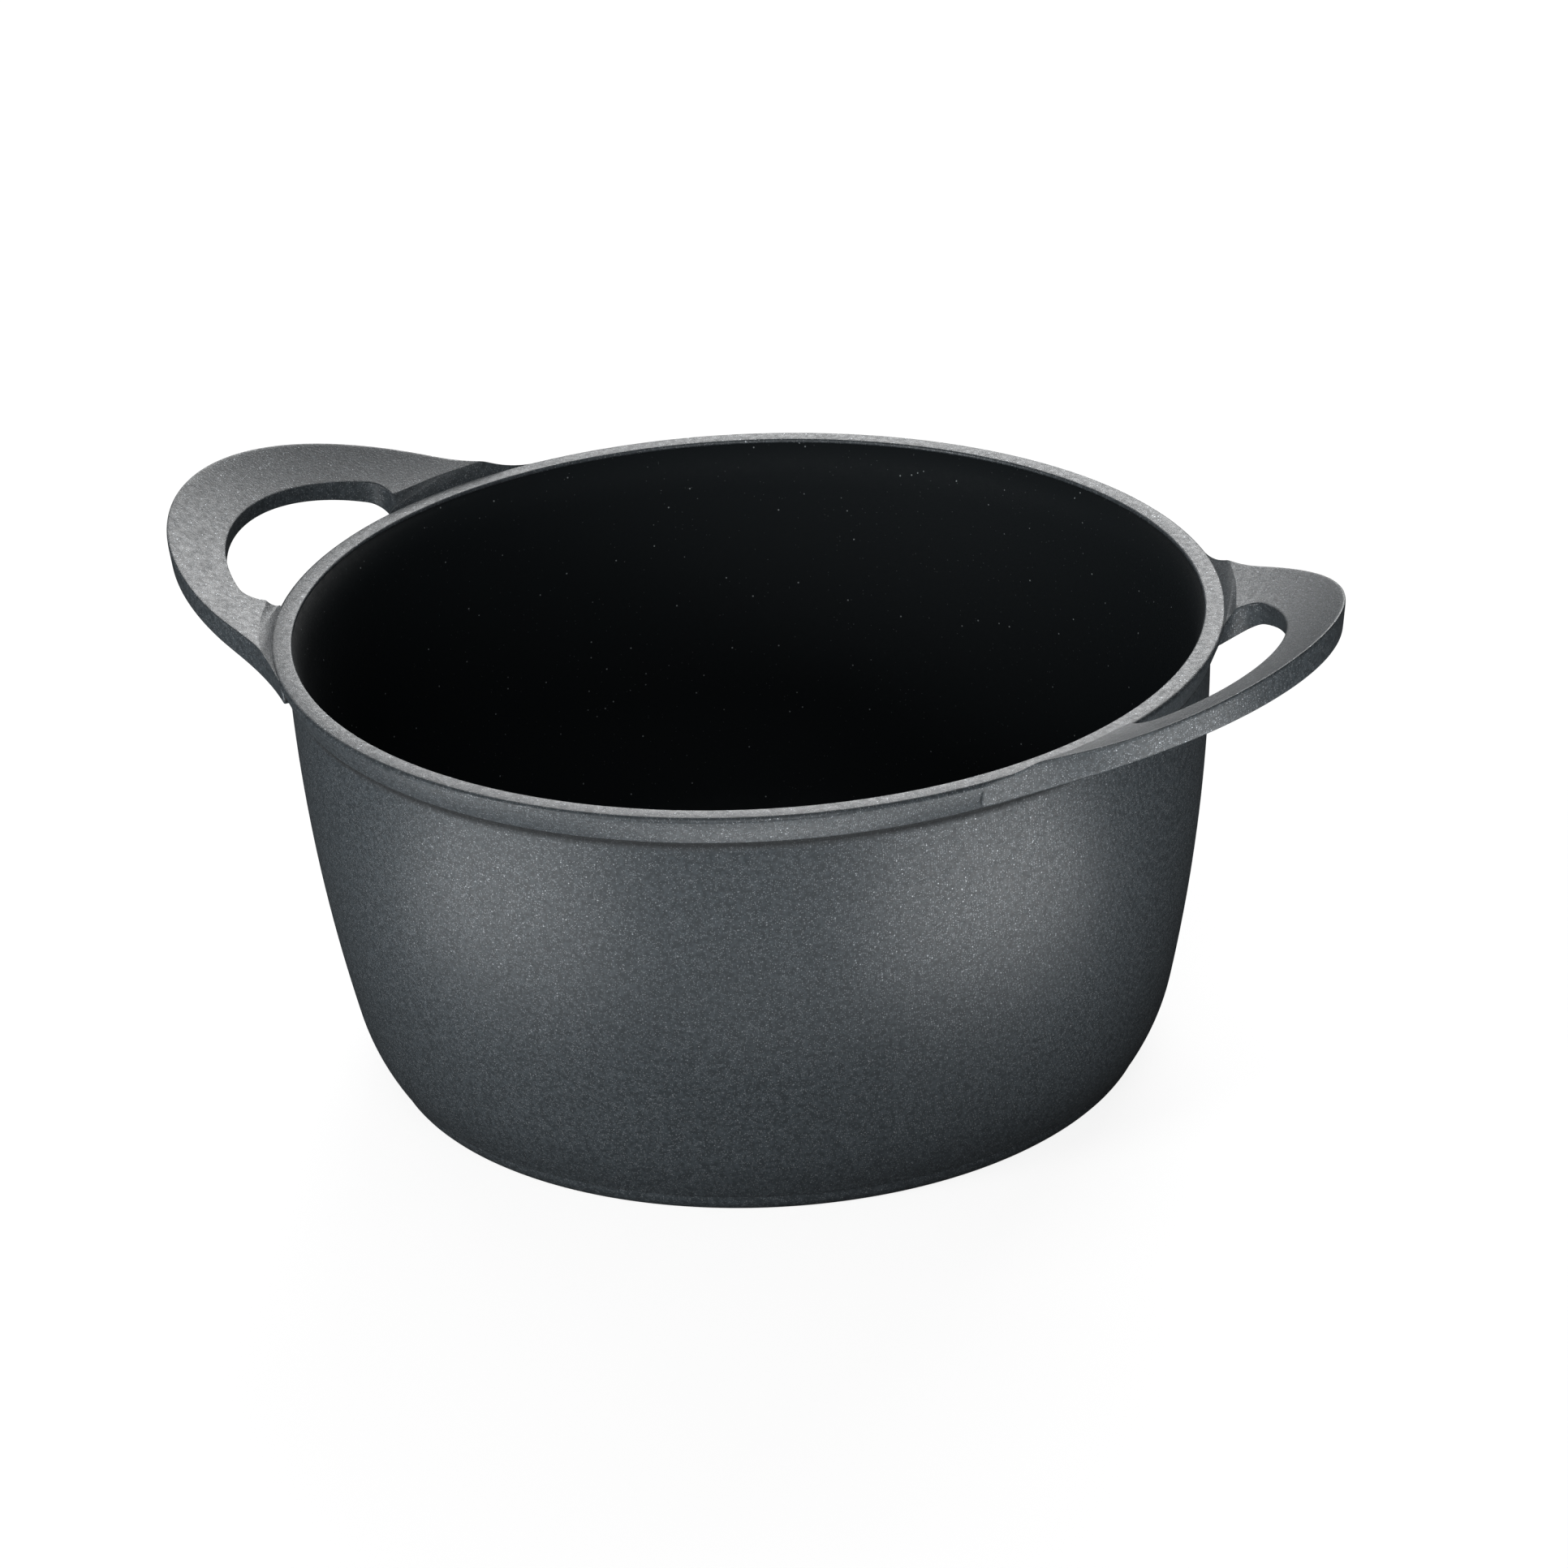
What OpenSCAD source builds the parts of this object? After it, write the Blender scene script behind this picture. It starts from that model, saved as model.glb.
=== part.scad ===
// Cast pot with two raised loop handles: one casting with a flecked enamel
// outside and a black enamel inside.  Millimetres, +Z up.  The origin is the
// centre of the flat base, and the handles point along +X and -X.

/* [Rim] */
// Outside diameter of the rim
rim_d = 240; // [200:1:290]
// Height of the rim above the table
rim_h = 118.5; // [90:0.5:150]
// Width of the land on top of the rim
land_w = 5.4; // [4.5:0.1:8]
// Radius of the land's round outer edge
edge_r = 1; // [0.6:0.1:2]
// Height of the band's outer face
band_h = 7.6; // [6:0.1:10]
// How far the band's outer face draws in from top to bottom
band_taper = 2.7; // [1:0.1:3]
// Height of the cove between the band and the wall
cove_h = 2.7; // [1.5:0.1:5]
// Depth of the cove
cove_w = 1.4; // [0.8:0.1:2]

/* [Bowl] */
// How far the foot lies inside the rim, on each side
foot_inset = 23; // [18:0.1:30]
// Height of the foot, where the wall steps out over it
foot_h = 5.2; // [5.2:0.1:8]
// Radius of the foot's round edge
foot_round = 5.5; // [3:0.1:5.5]
// How much the ground base takes off that round edge
base_cut = 0.5; // [0.4:0.1:1]
// How far the wall steps out over the foot
step_out = 1; // [0.3:0.1:1.5]
// Thickness of the wall
wall_t = 3.6; // [2.8:0.1:5]
// Thickness of the floor
floor_t = 5; // [4:0.1:8]
// Lean of the wall just under the band, in degrees
wall_lean = 2; // [1:0.1:6]
// Lean of the wall at the foot, in degrees
foot_lean = 31.6; // [28:0.1:40]
// Radius of the outside corner between wall and base
corner_r = 52; // [40:1:70]
// Radius of the inside corner between wall and floor
hollow_r = 25; // [15:1:30]
// Depth of the lip where the hollow widens to the land
lip_h = 9; // [5:0.5:15]

/* [Handles] */
// Distance from the pot's axis to the centre of each loop, less the rim's radius
loop_inset = 27; // [20:0.1:40]
// Outside radius of the loop
loop_r = 62.6; // [56:0.1:75]
// Width of the bar that the hand closes on
grip_w = 14.6; // [10:0.1:18]
// Height of the loop's tip above the rim
tip_lift = 18.2; // [8:0.1:30]
// Thickness of the bar at the tip
grip_t = 8.2; // [6:0.1:12]
// How much thinner the bar gets from its outside to the finger hole, at the tip
grip_relief = 4.4; // [0.5:0.1:5.5]
// Width of the flat strip under the bar, outside that relief
relief_land = 2.5; // [1:0.1:5]
// Upward bend of the handle's top, per millimetre
rise_bend = 0.0052; // [0:0.0002:0.006]
// Height of the step from the land up to the handle's top
step_h = 2.9; // [1:0.1:4]
// Width of that step
step_w = 2.6; // [1.5:0.1:4]
// Radius of the round corners at the ends of the finger hole
hole_corner_r = 5.2; // [3:0.1:7]
// Radius of the hollow fillet where the loop runs out along the band
root_fillet_r = 50; // [35:1:65]

/* [Coats] */
// Thickness of the outside enamel
coat_t = 0.3; // [0.2:0.05:0.5]
// Thickness of the inside enamel
lining_t = 0.3; // [0.2:0.05:0.5]

/* [Hidden] */
$fn = 180;
arc_steps = 12;
rim_r = rim_d / 2;
lip_r = rim_r - land_w;
band_low_r = rim_r - band_taper;
// Highest point of the wall, where the cove ends
wall_top = [band_low_r - cove_w, rim_h - band_h - cove_h];
foot_r = rim_r - foot_inset;
foot_c = [foot_r - foot_round, foot_round - base_cut];
// Lower edge of the wall, just outside the foot
wall_foot = [foot_r + step_out, foot_h];
corner_c = wall_foot + corner_r * [-cos(foot_lean), sin(foot_lean)];
// The wall's long bulge runs from its lean at the top into the corner's arc, smoothly at both ends
wall_side = [cos(wall_lean), -sin(wall_lean)];
corner_to_top = wall_top - corner_c;
bulge_r = (pow(norm(corner_to_top), 2) - pow(corner_r, 2)) / (2 * (corner_to_top * wall_side - corner_r));
bulge_c = wall_top - bulge_r * wall_side;
corner_a = heading(bulge_c, corner_c);
// The hollow's wall is parallel to the bulge, and its corner meets wall and floor smoothly
hollow_bulge_r = bulge_r - wall_t;
hollow_z = floor_t + hollow_r;
hollow_a = asin((hollow_z - bulge_c.y) / (hollow_bulge_r - hollow_r));
hollow_x = bulge_c.x + (hollow_bulge_r - hollow_r) * cos(hollow_a);
lip_a = asin((rim_h - lip_h - bulge_c.y) / hollow_bulge_r);

loop_x = rim_r - loop_inset;
tip_r = loop_x + loop_r;
hole_r = loop_r - grip_w;
// The finger hole stays this far off the band
hole_gap = 0.3;
// The handle runs out into the band, this far above and inside the band's lower edge
root_sink = 0.3;
root_fillet_c = meet([0, 0], band_low_r - root_sink + root_fillet_r, [loop_x, 0], loop_r + root_fillet_r);
hole_corner_c = meet([0, 0], rim_r + hole_gap + hole_corner_r, [loop_x, 0], hole_r - hole_corner_r);
// Sharp end that the finger hole would have without its round corner
hole_tip = meet([0, 0], rim_r + hole_gap, [loop_x, 0], hole_r);
step_r = rim_r + step_w;
rise_slope = (tip_lift - step_h) / (tip_r - step_r) - rise_bend * (tip_r - step_r);
// The handle's slab starts inside the band and ends past the tip
slab_r0 = wall_top.x;
slab_r1 = tip_r + 2;
under_z = rim_h - band_h + root_sink;
under_slope = (rim_h + tip_lift - grip_t - under_z) / (tip_r - band_low_r);
// The relief of the bar fades out from the tip to the rim
relief_slope = under_slope + grip_relief / (tip_r - rim_r);
relief_w = grip_w - relief_land;
relief_r = loop_r - relief_land;

// Height of the handle's top above the rim at a distance from the pot's axis
function top_rise(r) = step_h + rise_slope * (r - step_r) + rise_bend * pow(r - step_r, 2);

// Direction from a to b, in degrees
function heading(a, b) = atan2(b.y - a.y, b.x - a.x);

// Point at distance ra from a and rb from b, on the left of the way from a to b
function meet(a, ra, b, rb) =
    let (d = norm(b - a), u = (b - a) / d, x = (d * d + ra * ra - rb * rb) / (2 * d))
    a + u * x + [-u.y, u.x] * sqrt(ra * ra - x * x);

// Points along an arc from angle a0 to a1
function arc(c, r, a0, a1, steps = arc_steps) =
    [for (i = [0:steps]) let (a = a0 + (a1 - a0) * i / steps) c + r * [cos(a), sin(a)]];

// Outside of the pot from the base up to the land, moved in by t
function outside_points(t) = concat(
    arc(foot_c, foot_round - t, -asin(foot_c.y / (foot_round - t)), 0),
    [[foot_r - t, foot_h]],
    arc(corner_c, corner_r - t, heading(corner_c, wall_foot), corner_a),
    arc(bulge_c, bulge_r - t, corner_a, -wall_lean),
    [[band_low_r - t, rim_h - band_h]],
    arc([rim_r - edge_r, rim_h - edge_r], edge_r - t, 0, 90, 4)
);

// Surface of the hollow from the land down to the centre of the floor, moved out by t
function hollow_points(t, top) = concat(
    [[lip_r + t, top]],
    arc(bulge_c, hollow_bulge_r + t, lip_a, hollow_a),
    arc([hollow_x, hollow_z], hollow_r + t, hollow_a, -90),
    [[0, floor_t - t]]
);

// Points of a list in the opposite order
function reversed(list) = [for (i = [len(list) - 1:-1:0]) list[i]];

// Region between two touching circles of the loop and the rim, before the fillet is cut from it
module root_web() {
    polygon([[0, 0], root_fillet_c, [loop_x, 0], [root_fillet_c.x, -root_fillet_c.y]]);
}

// The finger hole from above, grown by t
module finger_hole(t) {
    difference() {
        translate([loop_x, 0]) circle(r = hole_r + t);
        circle(r = rim_r + hole_gap - t);
        for (side = [0, 1]) mirror([0, side]) hole_end(t);
    }
}

// What the round corner leaves standing at one end of the finger hole
module hole_end(t) {
    to_rim = -hole_corner_c / norm(hole_corner_c);
    to_arc = (hole_corner_c - [loop_x, 0]) / norm(hole_corner_c - [loop_x, 0]);
    difference() {
        polygon([
            hole_corner_c,
            hole_corner_c + 2 * hole_corner_r * to_rim,
            hole_corner_c + 1.3 * (hole_tip - hole_corner_c),
            hole_corner_c + 2 * hole_corner_r * to_arc
        ]);
        translate(hole_corner_c) circle(r = hole_corner_r + t);
    }
}

// One handle from above, moved in by t
module loop_plan(t) {
    difference() {
        union() {
            translate([loop_x, 0]) circle(r = loop_r - t);
            root_web();
        }
        for (side = [0, 1]) mirror([0, side]) translate(root_fillet_c) circle(r = root_fillet_r + t);
        finger_hole(t);
    }
}

// Section of the ring that both handles are cut from: flat under the band, rising to the tip
module slab_section(t) {
    polygon(concat(
        [
            [slab_r0, under_z + t],
            [band_low_r, under_z + t],
            [slab_r1, under_z + under_slope * (slab_r1 - band_low_r) + t]
        ],
        [for (i = [arc_steps:-1:0])
            let (r = step_r + (slab_r1 - step_r) * i / arc_steps) [r, rim_h + top_rise(r) - t]],
        [[rim_r, rim_h - t], [slab_r0, rim_h - t]]
    ));
}

// Cone under a loop that thins the bar towards the finger hole, moved up by t
module relief_cone(t) {
    translate([loop_x + relief_r, 0, rim_h + tip_lift - grip_t - under_slope * relief_land + t])
        rotate([0, -atan(relief_slope), 0])
            translate([-relief_r, 0, 0])
                cylinder(
                    h = 3 * grip_relief,
                    r1 = relief_r + 1.5 * relief_w,
                    r2 = relief_r - 1.5 * relief_w,
                    center = true
                );
}

// Both handles, moved in by t
module handles(t) {
    difference() {
        intersection() {
            rotate_extrude() slab_section(t);
            linear_extrude(height = rim_h + 2 * tip_lift)
                for (side = [0, 1]) mirror([side, 0]) loop_plan(t);
        }
        for (side = [0, 1]) mirror([side, 0, 0]) relief_cone(t);
    }
}

// The whole outside as a solid, moved in by t
module outside(t) {
    rotate_extrude() polygon(concat([[0, 0]], outside_points(t), [[0, rim_h - t]]));
    handles(t);
}

// The hollow as a solid, grown by t, from the floor up to a height
module hollow(t, top) {
    rotate_extrude() polygon(concat(hollow_points(t, top), [[0, top]]));
}

// Bowl, band and both handles, poured in one piece
module pot_casting() {
    color("#34383b")
        difference() {
            outside(coat_t);
            hollow(lining_t, rim_h - coat_t);
        }
}

// Flecked grey enamel on the wall, band, land and handles; the base is bare
module exterior_enamel() {
    color("#565d62")
        difference() {
            outside(0);
            outside(coat_t);
            hollow(0, rim_h);
        }
}

// Black enamel on the wall and floor of the hollow
module interior_enamel() {
    color("#101315")
        rotate_extrude()
            polygon(concat(
                hollow_points(lining_t, rim_h - coat_t),
                reversed(hollow_points(0, rim_h - coat_t))
            ));
}

pot_casting();
exterior_enamel();
interior_enamel();
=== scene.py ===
"""Cast pot with two raised loop handles: flecked outside, black inside, bare ground base."""

import math

import bmesh
import bpy
from mathutils import Matrix, Vector


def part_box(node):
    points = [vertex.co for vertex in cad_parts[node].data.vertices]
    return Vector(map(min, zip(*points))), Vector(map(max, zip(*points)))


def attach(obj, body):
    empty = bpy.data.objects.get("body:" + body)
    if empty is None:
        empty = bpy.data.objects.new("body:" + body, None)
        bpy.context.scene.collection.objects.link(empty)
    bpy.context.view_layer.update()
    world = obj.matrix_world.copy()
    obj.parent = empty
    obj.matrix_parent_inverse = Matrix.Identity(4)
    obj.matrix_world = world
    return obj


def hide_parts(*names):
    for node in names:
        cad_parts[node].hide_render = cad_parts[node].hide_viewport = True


bl_info = {
    "name": "Cast Pot",
    "version": (1, 0, 0),
    "blender": (4, 5, 0),
    "location": "View3D > Sidebar > Pot",
    "description": "Models a cast pot with loop handles, its enamel and a plain stage",
    "category": "Add Mesh",
}

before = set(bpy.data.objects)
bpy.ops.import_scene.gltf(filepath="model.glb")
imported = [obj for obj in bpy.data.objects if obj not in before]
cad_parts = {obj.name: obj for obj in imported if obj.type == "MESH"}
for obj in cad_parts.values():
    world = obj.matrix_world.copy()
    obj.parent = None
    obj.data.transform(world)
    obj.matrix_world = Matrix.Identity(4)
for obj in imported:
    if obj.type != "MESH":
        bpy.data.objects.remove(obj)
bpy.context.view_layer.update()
OUTER_LOW, OUTER_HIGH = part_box("exterior_enamel")
LINING_LOW, LINING_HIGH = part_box("interior_enamel")

COAT = 0.0003  # thickness of both enamels
TURN = 256  # segments of every full spin
FLAT_RING = 0.05  # radius of an extra ring on the flat floor and the flat base
SOFT_WIDTH = 0.00025  # width of the softened edges on the turned enamel
SOFT_ANGLES = (math.radians(25), math.radians(75))
SMOOTH_LEVELS = 2  # subdivision of the handles
FLOOR_HALF = 8
FLOOR_DROP = 0.0001  # the floor lies this far under the base


# Outlines: points are (distance from the axis, height) or (x, y) pairs

def arc(centre, radius, start, end, steps):
    """Points along an arc, angles in radians."""
    return [
        centre + radius * Vector((math.cos(a), math.sin(a)))
        for a in (start + (end - start) * i / steps for i in range(steps + 1))
    ]


def meet(a, ra, b, rb):
    """Point at distance ra from a and rb from b, on the left of the way from a to b."""
    d = (b - a).length
    u = (b - a) / d
    x = (d * d + ra * ra - rb * rb) / (2 * d)
    return a + u * x + Vector((-u.y, u.x)) * math.sqrt(ra * ra - x * x)


def heading(a, b):
    """Direction from a to b in radians."""
    return math.atan2(b.y - a.y, b.x - a.x)


def wall_curves(s):
    """The wall's foot, and the centres and radius of its corner and its long bulge."""
    top = Vector((
        s.rim_radius - s.band_taper - s.cove_depth,
        s.rim_height - s.band_height - s.cove_height,
    ))
    foot = Vector((s.rim_radius - s.foot_inset + s.step_out, s.foot_height))
    corner = foot + s.corner_radius * Vector((-math.cos(s.foot_lean), math.sin(s.foot_lean)))
    side = Vector((math.cos(s.wall_lean), -math.sin(s.wall_lean)))
    way = top - corner
    radius = (way.dot(way) - s.corner_radius ** 2) / (2 * (way.dot(side) - s.corner_radius))
    return foot, corner, top - radius * side, radius


def outside_outline(s, t):
    """From the ground base up to the flat land, moved in by t."""
    foot, corner, bulge, radius = wall_curves(s)
    turn = heading(bulge, corner)
    foot_radius = s.rim_radius - s.foot_inset
    edge = Vector((foot_radius - s.foot_round, s.foot_round - s.base_cut))
    band_low = Vector((s.rim_radius - s.band_taper - t, s.rim_height - s.band_height + t))
    cove = band_low - Vector((0, s.cove_depth))
    rim_edge = Vector((s.rim_radius - s.edge_round, s.rim_height - s.edge_round))
    return [
        *arc(edge, s.foot_round - t, -math.asin(edge.y / (s.foot_round - t)), 0, 8),
        Vector((foot_radius - t, s.foot_height)),
        *arc(corner, s.corner_radius - t, heading(corner, foot), turn, 28),
        *arc(bulge, radius - t, turn, -s.wall_lean, 20)[1:],
        *arc(cove, s.cove_depth, math.pi, math.pi / 2, 6),
        *arc(rim_edge, s.edge_round - t, -0.3, math.pi / 2, 7),
    ]


def lip_outline(s, t):
    """From the land round the inner lip, down to where the lining begins."""
    centre = Vector((s.rim_radius - s.land_width + s.lip_round, s.rim_height - s.lip_round))
    end = Vector((s.rim_radius - s.land_width + t, s.rim_height - s.lip_depth))
    return [*arc(centre, s.lip_round - t, math.pi / 2, math.pi, 5), end]


def hollow_outline(s, t):
    """From where the lining begins down to the middle of the floor, moved out by t."""
    bulge, radius = wall_curves(s)[2:]
    side = radius - s.wall_thickness
    low = math.asin((s.floor_height + s.hollow_radius - bulge.y) / (side - s.hollow_radius))
    high = math.asin((s.rim_height - s.flare_height - bulge.y) / side)
    corner = bulge + (side - s.hollow_radius) * Vector((math.cos(low), math.sin(low)))
    return [
        Vector((s.rim_radius - s.land_width + t, s.rim_height - s.lip_depth)),
        *arc(bulge, side + t, high, low, 24),
        *arc(corner, s.hollow_radius + t, low, -math.pi / 2, 16)[1:],
        Vector((FLAT_RING, s.floor_height - t)),
        Vector((0, s.floor_height - t)),
    ]


# Mesh helpers

def spun(outline, closed):
    """A turned mesh from an outline that is closed, or that starts and ends on the axis."""
    bm = bmesh.new()
    verts = [bm.verts.new((p.x, 0, p.y)) for p in outline]
    edges = [bm.edges.new(pair) for pair in zip(verts, verts[1:])]
    if closed:
        edges.append(bm.edges.new((verts[-1], verts[0])))
    bmesh.ops.spin(
        bm, geom=verts + edges, cent=(0, 0, 0), axis=(0, 0, 1), angle=math.tau,
        steps=TURN, use_merge=True)
    bmesh.ops.remove_doubles(bm, verts=bm.verts, dist=1e-6)
    bmesh.ops.recalc_face_normals(bm, faces=bm.faces)
    return bm


def faces_out(edge):
    """Whether the surface at an edge faces away from the axis."""
    normal = edge.link_faces[0].normal + edge.link_faces[1].normal
    return normal.xy.dot(edge.verts[0].co.xy) > 0


def soften(bm, width, least, most):
    """Bevels the outward edges between the two angles."""
    sharp = [
        e for e in bm.edges
        if e.is_manifold and least < e.calc_face_angle() < most and faces_out(e)]
    bmesh.ops.bevel(
        bm, geom=sharp, offset=width, offset_type="OFFSET", segments=3, profile=0.5,
        affect="EDGES", clamp_overlap=True, material=-1)


def finish_piece(bm, name, node, finish):
    """Turns the mesh into a smooth piece that stands for the node."""
    for face in bm.faces:
        face.smooth = True
    mesh = bpy.data.meshes.new(name)
    bm.to_mesh(mesh)
    bm.free()
    piece = bpy.data.objects.new(name, mesh)
    bpy.context.scene.collection.objects.link(piece)
    mesh.materials.append(finish)
    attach(piece, "root")
    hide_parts(node)
    return piece


# Handles: rings of points across the bar, from one root round the tip to the other

# (place along the finger hole's side, place along the outline): 1 is the end of each loop,
# 2 is the hole's end and the fillet's end, 3 is the root's end
ROUTE = (
    (0.0, 0.0, 20), (1.0, 0.756, 7), (1.35, 0.952, 5), (1.62, 1.254, 5),
    (2.0, 1.326, 6), (2.35, 1.625, 7), (3.0, 2.0, 0),
)
# Rings of points at the step's upper edge, from its corner
STEP_EDGE = (-0.00015, 0, 0.00018)
LEAST_GAP = 0.0008  # least distance between two of those rings
ROOT_START = 0.06  # places past the hole's end over which the root sinks into the band
ROOT_LAP = 0.0008  # how far the root's lower end reaches into the band
ROOT_LIFT = 0.0003  # how far it stays above the band's lower edge


def route():
    """Pairs of places along the two sides of the bar."""
    pairs = []
    for (w0, u0, steps), (w1, u1, _) in zip(ROUTE, ROUTE[1:]):
        pairs += [(w0 + (w1 - w0) * i / steps, u0 + (u1 - u0) * i / steps) for i in range(steps)]
    return pairs + [ROUTE[-1][:2]]


class Loop:
    """Plan and heights of one handle, moved in by t."""

    def __init__(self, s, h, t):
        self.s, self.h, self.t = s, h, t
        self.centre = Vector((s.rim_radius - h.loop_inset, 0))
        origin = Vector((0, 0))
        self.hole_radius = h.loop_radius - h.grip_width
        self.fillet = meet(
            origin, s.rim_radius - h.root_sink + h.root_fillet,
            self.centre, h.loop_radius + h.root_fillet)
        self.corner = meet(
            origin, s.rim_radius + h.hole_gap + h.hole_corner,
            self.centre, self.hole_radius - h.hole_corner)
        self.tip = self.centre.x + h.loop_radius
        self.step_end = s.rim_radius + h.step_width
        run = self.tip - self.step_end
        self.slope = (h.tip_lift - h.step_height) / run - h.rise_bend * run
        self.under_slope = (h.tip_lift - h.grip_thickness + s.band_height) / (
            self.tip - s.rim_radius + s.band_taper)

    def outer(self, u, inset):
        """Point on the outline, moved in by an inset."""
        inset += self.t
        loop_end = heading(self.centre, self.fillet)
        if u <= 1:
            a = loop_end * u
            return self.centre + (self.h.loop_radius - inset) * Vector((math.cos(a), math.sin(a)))
        start = loop_end + math.pi
        end = heading(self.fillet, Vector((0, 0))) + math.tau
        a = start + (end - start) * (u - 1)
        return self.fillet + (self.h.root_fillet + inset) * Vector((math.cos(a), math.sin(a)))

    def inner(self, w):
        """Point on the finger hole's side; past its end, the direction from the axis."""
        hole_end = heading(self.centre, self.corner)
        touch = heading(Vector((0, 0)), self.corner)
        if w <= 1:
            a = hole_end * w
            return self.centre + (self.hole_radius + self.t) * Vector((math.cos(a), math.sin(a)))
        if w <= 2:
            a = hole_end + (touch + math.pi - hole_end) * (w - 1)
            return self.corner + (self.h.hole_corner + self.t) * Vector((math.cos(a), math.sin(a)))
        a = touch + (heading(Vector((0, 0)), self.fillet) - touch) * (w - 2)
        return Vector((math.cos(a), math.sin(a)))

    def top(self, p):
        """Height of the handle's top, or of the step up to it, at a point."""
        r = p.length
        if r < self.step_end:
            lift = (r - self.s.rim_radius) * self.h.step_height / self.h.step_width
        else:
            lift = (
                self.h.step_height + self.slope * (r - self.step_end)
                + self.h.rise_bend * (r - self.step_end) ** 2)
        return self.s.rim_height + lift - self.t

    def under(self, p, across):
        """Height of the underside; across is 0 at the outline and 1 at the finger hole."""
        s, h = self.s, self.h
        r = max(p.length, s.rim_radius - s.band_taper)
        low = s.rim_height - s.band_height + self.under_slope * (r - s.rim_radius + s.band_taper)
        reach = min(1, max(0, (p.length - s.rim_radius) / (self.tip - s.rim_radius)))
        return low + h.grip_relief * across * reach + self.t

    def across(self, start, end, distance):
        """Share of the way from start to end where a distance from the axis is reached."""
        way = end - start
        a, b, c = way.dot(way), 2 * start.dot(way), start.dot(start) - distance ** 2
        root = b * b - 4 * a * c
        if root < 0:
            return 0
        return (-b + math.sqrt(root)) / (2 * a)

    def inside(self, w):
        """Upper end of the bar's inner side: at the finger hole, or sunk into the band."""
        place = self.inner(w)
        if w <= 2:
            return place
        s, h = self.s, self.h
        sunk = min(1, (w - 2) / ROOT_START)
        return place * (s.rim_radius + h.hole_gap * (1 - sunk) - h.root_depth * sunk)

    def inside_low(self, w):
        """Lower end of the bar's inner side, and its height."""
        s, h = self.s, self.h
        place = self.inner(w)
        if w > 2:
            z = s.rim_height - s.band_height + ROOT_LIFT + self.t
            return place * (s.rim_radius - s.band_taper - ROOT_LAP), z
        z = self.under(place, 1)
        # Towards the hole's end the side leans in to the band's lower edge
        lean_in = max(0, (w - 1.4) / 0.6) ** 2
        return place - place.normalized() * lean_in * (h.hole_gap + s.band_taper), z

    def top_shares(self, start, end):
        """Shares of the way over the top: the step's upper edge, the flat and the round edge."""
        length = (end - start).length
        rim = min(0.35, self.h.edge_round / length)
        shares = [0]
        for i, offset in enumerate(STEP_EDGE):
            least = min(0.12, LEAST_GAP / length) * (i + 1)
            most = 1 - rim * (1 + 0.1 * (3 - i))
            reached = self.across(start, end, self.step_end + offset)
            shares.append(max(least, min(most, reached)))
        flat = 1 - rim - shares[-1]
        return [*shares, shares[-1] + flat / 3, shares[-1] + flat * 2 / 3, 1 - rim, 1]

    def ring(self, w, u):
        """Points once round the bar: over the top, down the outside, back below, up the inside."""
        h = self.h
        start, end = self.inside(w), self.outer(u, 0)
        over = [start.lerp(end, share) for share in self.top_shares(start, end)]
        ring = [(p, self.top(p)) for p in over]
        top_z, edge_z = ring[0][1], ring[-1][1]
        low_end = self.outer(u, h.side_taper)
        low_z = self.under(low_end, 0)
        drop = edge_z - low_z
        for depth, inset in (
                (h.edge_round, 0), (drop * 0.42, h.side_taper * 0.32),
                (drop - h.edge_round, h.side_taper * 0.84)):
            ring.append((self.outer(u, inset), edge_z - depth))
        low_start, low_start_z = self.inside_low(w)
        edge = min(0.3, h.edge_round / (low_end - low_start).length)
        for share in (0, edge, 0.5, 1 - edge, 1):
            ring.append((low_end.lerp(low_start, share), low_z + (low_start_z - low_z) * share))
        for share in (0.14, 0.5, 0.86):
            ring.append((low_start.lerp(start, share), low_start_z + (top_z - low_start_z) * share))
        return ring


def handle_mesh(s, h, t):
    """One handle along +X, moved in by t, as a bar swept ring by ring from root to root."""
    loop = Loop(s, h, t)
    half = [loop.ring(w, u) for w, u in route()]
    rings = [[Vector((p.x, -p.y, z)) for p, z in ring] for ring in reversed(half)]
    rings += [[Vector((p.x, p.y, z)) for p, z in ring] for ring in half[1:]]
    bm = bmesh.new()
    face = bm.faces.new([bm.verts.new(p) for p in rings[0]])
    for ring in rings[1:]:
        face = bmesh.ops.extrude_discrete_faces(bm, faces=[face])["faces"][0]
        for corner, place in zip(face.loops, ring):
            corner.vert.co = place
    open_edges = [e for e in bm.edges if e.is_boundary]
    if open_edges:
        bmesh.ops.contextual_create(bm, geom=open_edges)
    bmesh.ops.recalc_face_normals(bm, faces=bm.faces)
    return bm


# Materials

class Value:
    """A shader socket that takes part in Python arithmetic."""

    def __init__(self, nodes, socket):
        self.nodes, self.socket = nodes, socket

    def maths(self, operation, *values):
        return self.nodes.add("ShaderNodeMath", {"operation": operation}, dict(enumerate(values)))

    def __add__(self, other):
        return self.maths("ADD", self, other)

    def __radd__(self, other):
        return self.maths("ADD", other, self)

    def __sub__(self, other):
        return self.maths("SUBTRACT", self, other)

    def __rsub__(self, other):
        return self.maths("SUBTRACT", other, self)

    def __mul__(self, other):
        return self.maths("MULTIPLY", self, other)

    def __rmul__(self, other):
        return self.maths("MULTIPLY", other, self)

    def __gt__(self, other):
        return self.maths("GREATER_THAN", self, other)


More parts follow.
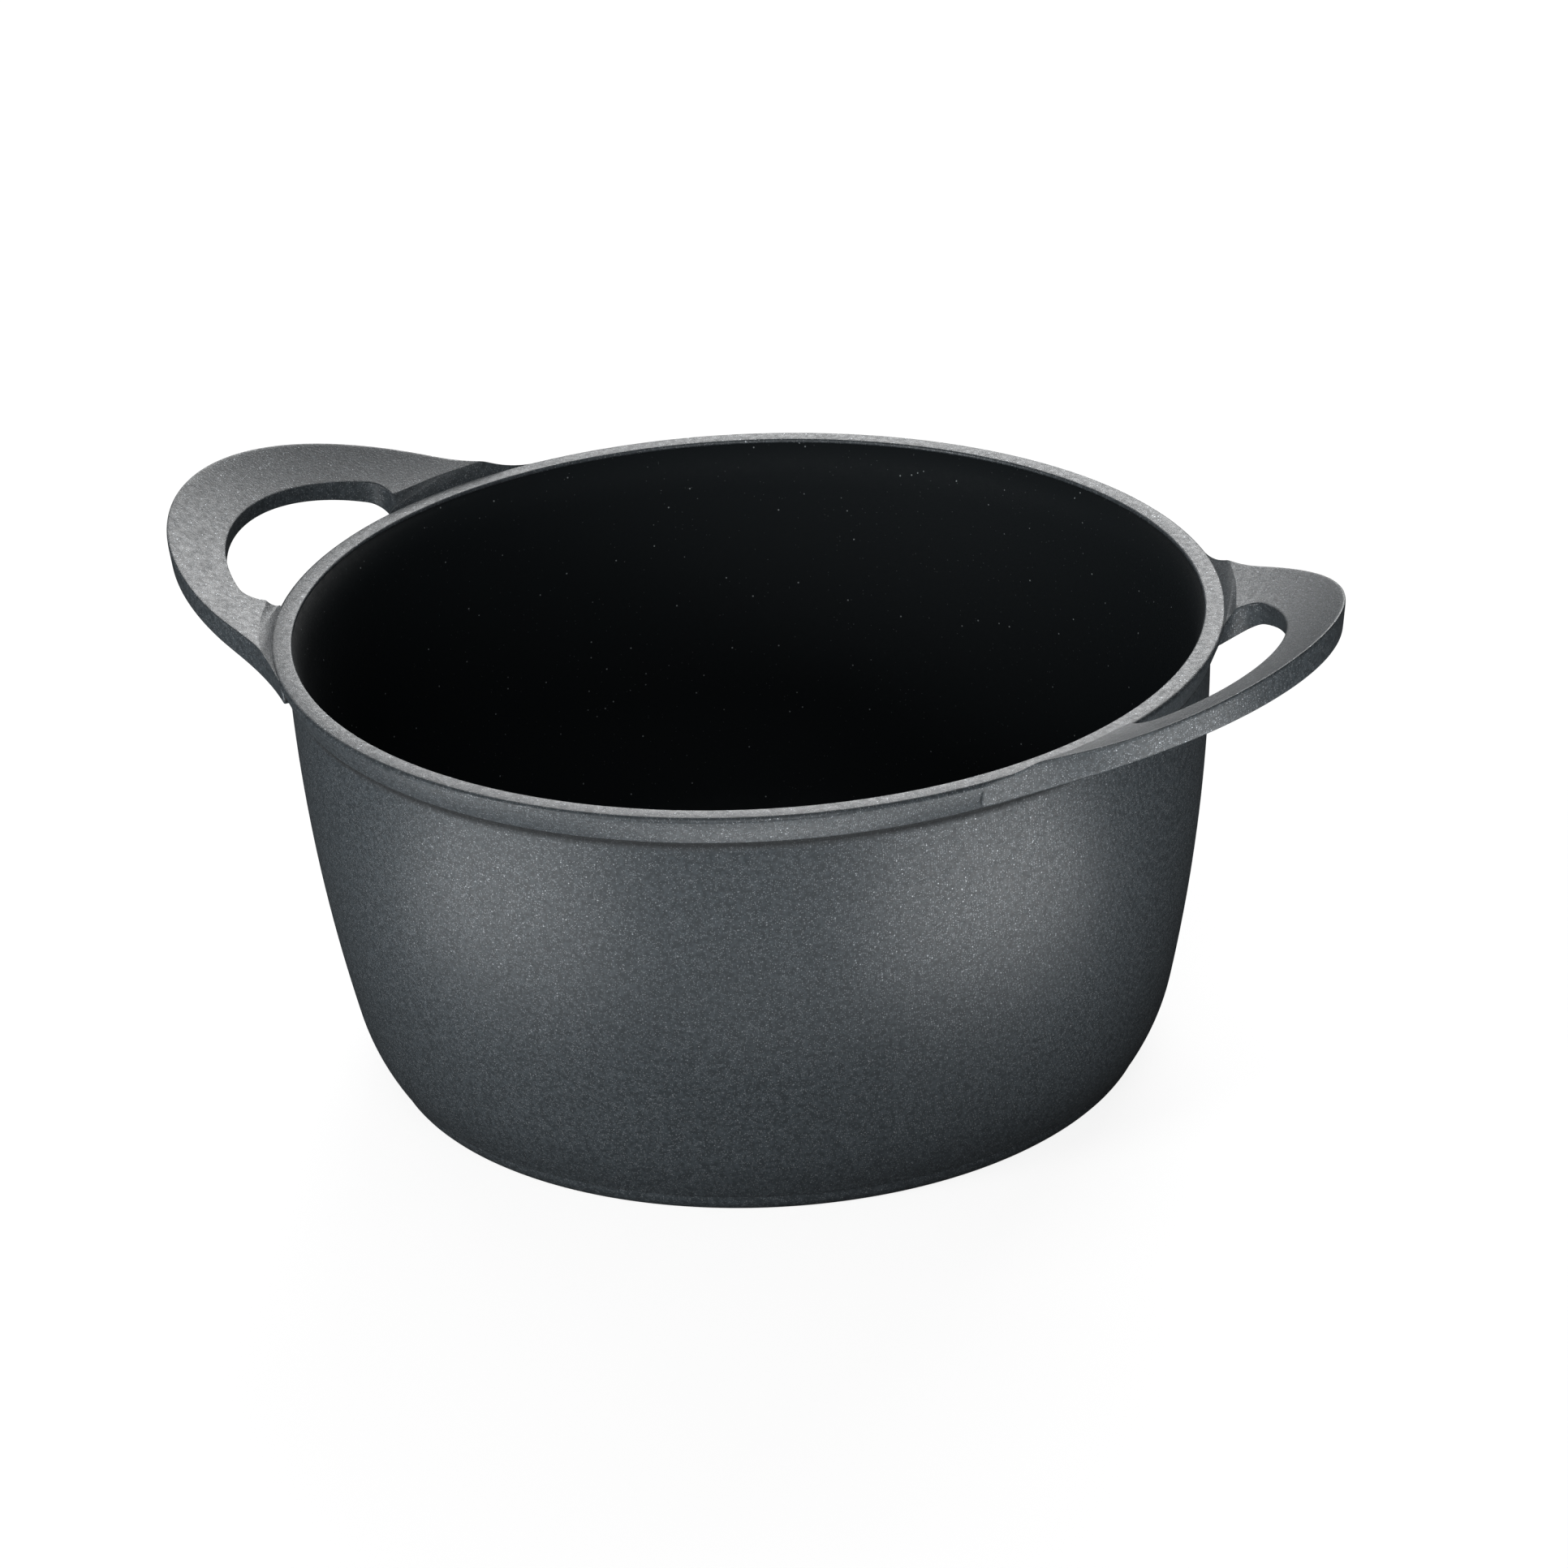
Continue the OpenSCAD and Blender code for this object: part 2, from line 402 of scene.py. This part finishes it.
class Finish:
    """Node tree of one material, with its shader."""

    def __init__(self, name):
        self.material = bpy.data.materials.new(name)
        self.material.use_nodes = True
        self.tree = self.material.node_tree
        self.shader = self.tree.nodes["Principled BSDF"]

    def add(self, kind, settings=None, inputs=None, output=0):
        """Adds a node: its settings first, then the values or links of its sockets."""
        node = self.tree.nodes.new(kind)
        for key, setting in (settings or {}).items():
            setattr(node, key, setting)
        for key, value in (inputs or {}).items():
            self.feed(node.inputs[key], value)
        return Value(self, node.outputs[output])

    def feed(self, socket, value):
        if isinstance(value, Value):
            self.tree.links.new(value.socket, socket)
        else:
            socket.default_value = value

    def surface(self, **inputs):
        """Values or links of the shader's own sockets."""
        for key, value in inputs.items():
            self.feed(self.shader.inputs[key.replace("_", " ")], value)

    def place(self):
        return self.add("ShaderNodeTexCoord", output="Object")

    def noise(self, scale, detail=2.0, rough=0.5):
        return self.add(
            "ShaderNodeTexNoise", None,
            {"Vector": self.place(), "Scale": scale, "Detail": detail, "Roughness": rough}, "Fac")

    def cells(self, scale, output="Distance"):
        return self.add(
            "ShaderNodeTexVoronoi", {"feature": "F1"}, {"Vector": self.place(), "Scale": scale}, output)

    def level(self, value, low, high, out_low=0.0, out_high=1.0):
        """Maps low..high to another range, held at its ends."""
        return self.add("ShaderNodeMapRange", {"clamp": True}, {
            "Value": value, "From Min": low, "From Max": high, "To Min": out_low, "To Max": out_high})

    def mix(self, share, a, b):
        return self.add("ShaderNodeMix", {"data_type": "RGBA"}, {0: share, 6: a, 7: b}, 2)

    def part(self, colour, channel):
        return self.add("ShaderNodeSeparateColor", None, {"Color": colour}, channel)

    def bump(self, height, strength, distance):
        return self.add("ShaderNodeBump", None, {
            "Strength": strength, "Distance": distance, "Height": height}, "Normal")

    def greater(self, a, b):
        return self.add("ShaderNodeMath", {"operation": "MAXIMUM"}, {0: a, 1: b})

    def specks(self, scale, share, size):
        """Mask of small round specks: a share of the cells has one, as wide as size of a cell."""
        pick = self.part(self.cells(scale, "Color"), "Red") > 1 - share
        return pick * self.level(self.cells(scale), size, size * 0.4)


def opaque(colour, strength=1):
    """A colour with its alpha, made lighter or darker."""
    return (*(channel * strength for channel in colour), 1)


def flecked_enamel(scene):
    """Satin dark enamel with fine metallic flecks; in the cove under the band it is darkened as painted
    shade, and made duller and not metallic.
    """
    c, s = scene.pot_colours, scene.pot_sizes
    f = Finish("Flecked enamel")
    fine = f.specks(2500, 0.5, 0.42)
    bold = f.specks(1250, 0.1, 0.28)
    flecks = f.greater(fine * 0.55, bold)
    patches = f.level(f.noise(38, 3), 0.35, 0.65, 0.9, 1.1)
    ground = f.mix(
        f.level(f.noise(900, 2), 0.4, 0.62), opaque(c.enamel), opaque(c.enamel, 1.6))
    height = f.add("ShaderNodeSeparateXYZ", None, {"Vector": f.place()}, "Z")
    # Painted shade: a strip by height just under the band, where the band's shadow falls on the cove.
    high = s.rim_height - s.band_height
    low = high - s.cove_shade
    cove = f.level(height, low - 0.0014, low + 0.0002) * f.level(height, high + 0.0001, high - 0.0002)
    flecked = f.mix(flecks * patches, ground, opaque(c.fleck))
    roughness = f.level(f.noise(600, 2), 0.3, 0.7, 0.36, 0.5)
    f.surface(
        # The cove strip darkens the colour as painted shade; it also takes away the metallic and raises
        # the roughness.
        Base_Color=f.mix(cove * 0.85, flecked, opaque(c.enamel, 0.2)),
        Metallic=flecks * 0.75 * (1 - cove),
        Roughness=roughness - flecks * 0.08 + cove * 0.4,
        Normal=f.bump(f.noise(1700, 2, 0.6), 0.35, 0.0002),
        Specular_IOR_Level=0.5,
    )
    return f.material


def black_enamel(scene):
    """Matte black enamel with sparse pale specks."""
    c = scene.pot_colours
    f = Finish("Black enamel")
    clear = f.specks(620, 0.05, 0.16)
    faint = f.specks(1300, 0.1, 0.22)
    f.surface(
        Base_Color=f.mix(f.greater(clear, faint * 0.18), opaque(c.lining), opaque(c.speck)),
        Roughness=f.level(f.noise(500, 3), 0.3, 0.7, 0.6, 0.72),
        Normal=f.bump(f.noise(1400, 3, 0.6), 0.4, 0.00015),
        Specular_IOR_Level=0.07,
    )
    return f.material


def bare_iron(scene):
    """Ground and seasoned iron with fine rings from the grinding."""
    c = scene.pot_colours
    f = Finish("Bare iron")
    flat = f.add("ShaderNodeVectorMath", {"operation": "MULTIPLY"}, {0: f.place(), 1: (1, 1, 0)})
    radius = f.add("ShaderNodeVectorMath", {"operation": "LENGTH"}, {0: flat}, "Value")
    rings = f.add(
        "ShaderNodeTexNoise", {"noise_dimensions": "1D"},
        {"W": radius, "Scale": 1400.0, "Detail": 3.0}, "Fac")
    f.surface(
        Base_Color=f.mix(
            f.level(rings + f.noise(120, 4) * 0.6, 0.55, 1.05),
            opaque(c.iron), opaque(c.iron, 1.9)),
        Metallic=0.85,
        Roughness=f.level(f.noise(90, 3), 0.3, 0.7, 0.42, 0.6),
        Normal=f.bump(rings, 0.3, 0.0002),
    )
    return f.material


def material(make):
    """The material of a finish, made once."""
    name = make.__name__.replace("_", " ").capitalize()
    return bpy.data.materials.get(name) or make(bpy.context.scene)


# Settings

def size(name, description, default):
    return bpy.props.FloatProperty(
        name=name, description=description, default=default, min=0,
        subtype="DISTANCE", unit="LENGTH", precision=4)


def lean(name, description, degrees):
    return bpy.props.FloatProperty(
        name=name, description=description, default=math.radians(degrees),
        subtype="ANGLE", unit="ROTATION")


def colour(name, description, default):
    return bpy.props.FloatVectorProperty(
        name=name, description=description, default=default, size=3, min=0, max=1,
        subtype="COLOR")


class PotSizes(bpy.types.PropertyGroup):
    """Sizes of the bowl and its rim."""

    rim_radius: size("Rim radius", "Outside radius of the rim", OUTER_HIGH.y)
    rim_height: size("Rim height", "Height of the rim above the base", LINING_HIGH.z + COAT)
    land_width: size("Land width", "Width of the land on top of the rim", 0.0054)
    edge_round: size("Edge round", "Radius of the land's outer edge", 0.001)
    lip_round: size("Lip round", "Radius of the land's inner edge", 0.0006)
    lip_depth: size("Lip depth", "Depth at which the black enamel begins", 0.0009)
    band_height: size("Band height", "Height of the band's outer face", 0.0076)
    band_taper: size("Band taper", "How far the band draws in towards its lower edge", 0.0027)
    cove_height: size("Cove height", "Height of the cove under the band", 0.0027)
    cove_depth: size("Cove depth", "Depth of the cove under the band", 0.0014)
    # Height of the strip of painted shade in the cove: the enamel is darkened there, and made duller
    # and not metallic.
    cove_shade: size("Cove shade", "Height of the dull, dark enamel in the cove", 0.0017)
    corner_radius: size("Corner radius", "Outside radius between wall and foot", 0.052)
    foot_inset: size("Foot inset", "How far the foot lies inside the rim", 0.023)
    foot_height: size("Foot height", "Height of the foot", 0.0052)
    foot_round: size("Foot round", "Radius of the foot's lower edge", 0.0055)
    base_cut: size("Base cut", "How much the ground base takes off the round edge", 0.0005)
    step_out: size("Step out", "How far the wall stands out over the foot", 0.001)
    wall_thickness: size("Wall thickness", "Thickness of the wall", 0.0036)
    floor_height: size("Floor height", "Height of the floor's upper face", LINING_LOW.z + COAT)
    hollow_radius: size("Hollow radius", "Inside radius between wall and floor", 0.025)
    flare_height: size("Flare height", "Depth of the flare under the rim", 0.009)
    wall_lean: lean("Wall lean", "Lean of the wall just under the band", 2)
    foot_lean: lean("Foot lean", "Lean of the wall at the foot", 31.6)


class HandleSizes(bpy.types.PropertyGroup):
    """Sizes of the two loop handles."""

    loop_inset: size("Loop inset", "Distance of the loop's centre inside the rim's radius", 0.027)
    loop_radius: size("Loop radius", "Outside radius of the loop", OUTER_HIGH.x - OUTER_HIGH.y + 0.027)
    grip_width: size("Grip width", "Width of the bar", 0.0146)
    grip_thickness: size("Grip thickness", "Thickness of the bar at the tip", 0.0082)
    grip_relief: size("Grip relief", "How much the bar thins towards the finger hole", 0.0044)
    tip_lift: size("Tip lift", "Height of the tip above the rim", OUTER_HIGH.z - LINING_HIGH.z - COAT)
    step_height: size("Step height", "Height of the step from the land to the handle", 0.0029)
    step_width: size("Step width", "Width of that step", 0.0026)
    hole_corner: size("Hole corner", "Radius at the ends of the finger hole", 0.0052)
    hole_gap: size("Hole gap", "Distance of the finger hole from the band", 0.0003)
    root_fillet: size("Root fillet", "Radius where the loop runs out along the band", 0.05)
    root_sink: size("Root sink", "How far the handle's end sinks into the band", 0.0001)
    root_depth: size("Root depth", "How far the step runs on below the land", 0.001)
    side_taper: size("Side taper", "How far the outside draws in towards its lower edge", 0.0008)
    edge_round: size("Edge round", "Roundness of the outline's edges", 0.0012)
    rise_bend: bpy.props.FloatProperty(
        name="Rise bend", description="Upward bend of the handle's top, per metre", default=5.2, min=0)


class PotColours(bpy.types.PropertyGroup):
    """Colours of the finishes."""

    enamel: colour("Enamel", "Ground colour of the outside enamel", (0.04, 0.048, 0.054))
    fleck: colour("Fleck", "Colour of the metallic flecks", (0.42, 0.45, 0.48))
    lining: colour("Lining", "Colour of the inside enamel", (0.011, 0.0136, 0.0153))
    speck: colour("Speck", "Colour of the specks in the inside enamel", (0.3, 0.33, 0.34))
    iron: colour("Iron", "Colour of the bare base", (0.09, 0.09, 0.092))
    floor: colour("Floor", "Colour of the floor", (0.3, 0.3, 0.3))


# Operators

class POT_OT_bowl_enamel(bpy.types.Operator):
    """Outside enamel of the bowl, from the base over the band to the inner lip"""

    bl_idname = "pot.bowl_enamel"
    bl_label = "Bowl Enamel"

    def execute(self, context):
        s = context.scene.pot_sizes
        outline = outside_outline(s, 0) + lip_outline(s, 0)
        outline += reversed(outside_outline(s, COAT) + lip_outline(s, COAT))
        bm = spun(outline, closed=True)
        soften(bm, SOFT_WIDTH, *SOFT_ANGLES)
        finish_piece(bm, "bowl_enamel", "exterior_enamel", material(flecked_enamel))
        return {"FINISHED"}


class POT_OT_handle_enamel(bpy.types.Operator):
    """Outside enamel of both handles"""

    bl_idname = "pot.handle_enamel"
    bl_label = "Handle Enamel"

    def execute(self, context):
        make_handles(
            "handle_enamel", "exterior_enamel", material(flecked_enamel), 0)
        return {"FINISHED"}


def make_handles(name, node, finish, inset):
    """A right handle, and a left one turned half round."""
    scene = bpy.context.scene
    for side, turn in (("right_", 0), ("left_", math.pi)):
        bm = handle_mesh(scene.pot_sizes, scene.handle_sizes, inset)
        bmesh.ops.rotate(bm, verts=bm.verts, cent=(0, 0, 0), matrix=Matrix.Rotation(turn, 3, "Z"))
        piece = finish_piece(bm, side + name, node, finish)
        smooth = piece.modifiers.new("Subdivision", "SUBSURF")
        smooth.levels = smooth.render_levels = SMOOTH_LEVELS


class POT_OT_lining(bpy.types.Operator):
    """Black enamel on the wall and floor of the hollow"""

    bl_idname = "pot.lining"
    bl_label = "Lining"

    def execute(self, context):
        s = context.scene.pot_sizes
        outline = hollow_outline(s, 0) + list(reversed(hollow_outline(s, COAT)))
        loop = outline[len(outline) // 2:] + outline[:len(outline) // 2]
        bm = spun(loop, closed=False)
        finish_piece(bm, "lining", "interior_enamel", material(black_enamel))
        return {"FINISHED"}


class POT_OT_casting(bpy.types.Operator):
    """Iron casting under the enamel, with its bare ground base"""

    bl_idname = "pot.casting"
    bl_label = "Casting"

    def execute(self, context):
        s = context.scene.pot_sizes
        outline = [Vector((0, 0)), Vector((FLAT_RING, 0))]
        outline += outside_outline(s, COAT) + lip_outline(s, COAT) + hollow_outline(s, COAT)[1:]
        bm = spun(outline, closed=False)
        finish_piece(bm, "bowl_casting", "pot_casting", material(bare_iron))
        make_handles("handle_casting", "pot_casting", material(bare_iron), COAT)
        return {"FINISHED"}


class POT_OT_stage(bpy.types.Operator):
    """Plain floor, soft lights and the camera"""

    bl_idname = "pot.stage"
    bl_label = "Stage"

    def execute(self, context):
        scene = context.scene
        bm = bmesh.new()
        bmesh.ops.create_grid(bm, x_segments=1, y_segments=1, size=FLOOR_HALF)
        bmesh.ops.translate(bm, verts=bm.verts, vec=(0, 0, -FLOOR_DROP))
        mesh = bpy.data.meshes.new("Floor")
        bm.to_mesh(mesh)
        bm.free()
        floor = bpy.data.objects.new("Floor", mesh)
        scene.collection.objects.link(floor)
        f = Finish("Floor")
        f.surface(
            Base_Color=opaque(scene.pot_colours.floor), Roughness=0.9, Specular_IOR_Level=0.1,
            Emission_Color=(1, 1, 1, 1), Emission_Strength=0.86)
        mesh.materials.append(f.material)
        floor.visible_diffuse = floor.visible_glossy = False
        for lamp in LIGHTS:
            light(*lamp)
        world = bpy.data.worlds.new("World")
        world.use_nodes = True
        sky = world.node_tree.nodes["Background"].inputs
        sky["Color"].default_value = (1, 1, 1, 1)
        sky["Strength"].default_value = 0.02
        scene.world = world
        scene.view_settings.view_transform = "Standard"
        scene.camera = camera()
        return {"FINISHED"}


AIM = Vector((0, 0, 0.08))  # what the standing lamps face
LYING = 0.01  # a lamp below this height lies on the floor
# Name, turn round the pot from -Y towards +X in degrees, distance, height, width, depth,
# watts and spread in degrees
LIGHTS = (
    ("Back", 190, 1.9, 1.0, 1.5, 1.0, 27, 180),
    ("Back_left", 225, 1.9, 1.0, 1.0, 1.0, 5, 180),
    ("Top", 25, 0.1, 1.8, 1.0, 1.0, 1.6, 180),
    ("Front_high", 25, 1.5, 1.1, 1.2, 0.7, 4.5, 180),
    ("Front_low", 25, 1.5, 0.35, 0.8, 0.4, 5.5, 180),
    ("Side_left", -30, 1.4, 0.4, 0.5, 0.5, 9, 180),
    ("Left", -27, 0.3, 0.002, 0.2, 0.22, 0.36, 180),
    ("Right", 70, 0.3, 0.002, 0.2, 0.22, 0.52, 180),
    ("Near", 25, 0.168, 0.002, 0.26, 0.065, 0.066, 75),
)


def light(name, degrees, distance, height, width, depth, power, spread):
    """A soft area light that faces the pot, or faces up where it lies on the floor."""
    turn = math.radians(degrees)
    data = bpy.data.lights.new(name, "AREA")
    data.shape = "RECTANGLE"
    data.size, data.size_y = width, depth
    data.energy, data.spread = power, math.radians(spread)
    place = Vector((distance * math.sin(turn), -distance * math.cos(turn), height))
    lamp = bpy.data.objects.new(name, data)
    if height < LYING:
        turned = Matrix.Rotation(turn, 3, "Z") @ Matrix.Rotation(math.pi, 3, "X")
    else:
        turned = (AIM - place).to_track_quat("-Z", "Y").to_matrix()
    lamp.matrix_world = Matrix.LocRotScale(place, turned.to_quaternion(), None)
    lamp.visible_camera = False
    bpy.context.scene.collection.objects.link(lamp)


def camera():
    """Long lens, looking down at the pot from its right front."""
    data = bpy.data.cameras.new("Camera")
    data.lens = 180.2
    data.clip_start, data.clip_end = 0.05, 50
    turn, down, roll = math.radians(24.9), math.radians(24.95), math.radians(2.67)
    view = Vector((-math.sin(turn) * math.cos(down), math.cos(turn) * math.cos(down), -math.sin(down)))
    rig = bpy.data.objects.new("Camera", data)
    rotation = view.to_track_quat("-Z", "Y") @ Matrix.Rotation(-roll, 3, "Z").to_quaternion()
    rig.matrix_world = Matrix.LocRotScale(Vector((0.7663, -1.634, 0.9109)), rotation, None)
    bpy.context.scene.collection.objects.link(rig)
    return rig


class POT_PT_panel(bpy.types.Panel):
    """Lists the pieces of the pot and the stage"""

    bl_idname = "POT_PT_panel"
    bl_label = "Pot"
    bl_space_type = "VIEW_3D"
    bl_region_type = "UI"
    bl_category = "Pot"

    def draw(self, context):
        for operator in OPERATORS:
            self.layout.operator(operator.bl_idname)


OPERATORS = (POT_OT_bowl_enamel, POT_OT_handle_enamel, POT_OT_lining, POT_OT_casting, POT_OT_stage)
GROUPS = {"pot_sizes": PotSizes, "handle_sizes": HandleSizes, "pot_colours": PotColours}


def register():
    for cls in (*GROUPS.values(), *OPERATORS, POT_PT_panel):
        bpy.utils.register_class(cls)
    for name, group in GROUPS.items():
        setattr(bpy.types.Scene, name, bpy.props.PointerProperty(type=group))


def unregister():
    for name in GROUPS:
        delattr(bpy.types.Scene, name)
    for cls in reversed((*GROUPS.values(), *OPERATORS, POT_PT_panel)):
        bpy.utils.unregister_class(cls)


def main():
    register()
    bpy.ops.pot.bowl_enamel()
    bpy.ops.pot.handle_enamel()
    bpy.ops.pot.lining()
    bpy.ops.pot.casting()
    bpy.ops.pot.stage()


if __name__ == "__main__":
    main()
